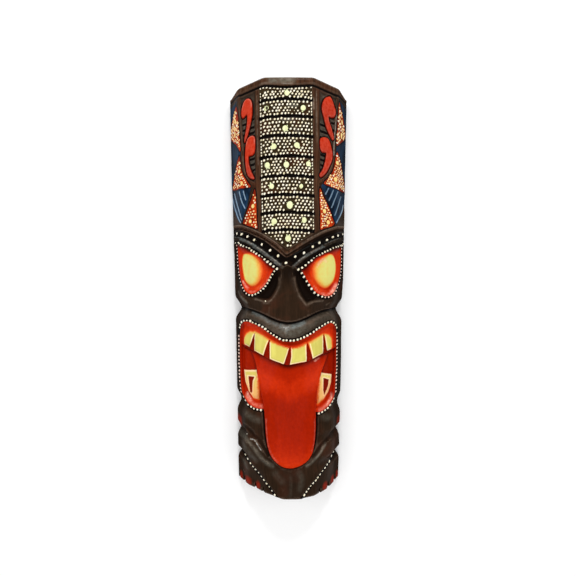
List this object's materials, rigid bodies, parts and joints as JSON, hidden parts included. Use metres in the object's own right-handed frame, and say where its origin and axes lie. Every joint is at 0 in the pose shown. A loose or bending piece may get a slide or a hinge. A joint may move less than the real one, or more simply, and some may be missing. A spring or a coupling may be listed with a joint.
{
  "type": "tiki mask",
  "caption": "Tall carved wooden wall mask with patterned forehead, glaring eyes, bared teeth and a long tongue, lying on its hollowed back.",
  "frame": {"origin": "middle of the mask's bounding box, on the flat rim of its back", "axes": "+Z out of the face, +Y towards the top of the mask, +X to the right as one looks at the face"},
  "size_m": [0.156, 0.504, 0.075],
  "materials": {
    "stained_wood": "dark stained wood with rubbed edges, painted red, yellow, blue and cream dots, satin varnish"
  },
  "bodies": {
    "root": {"carved_mask": "stained_wood"}
  },
  "joints": []
}
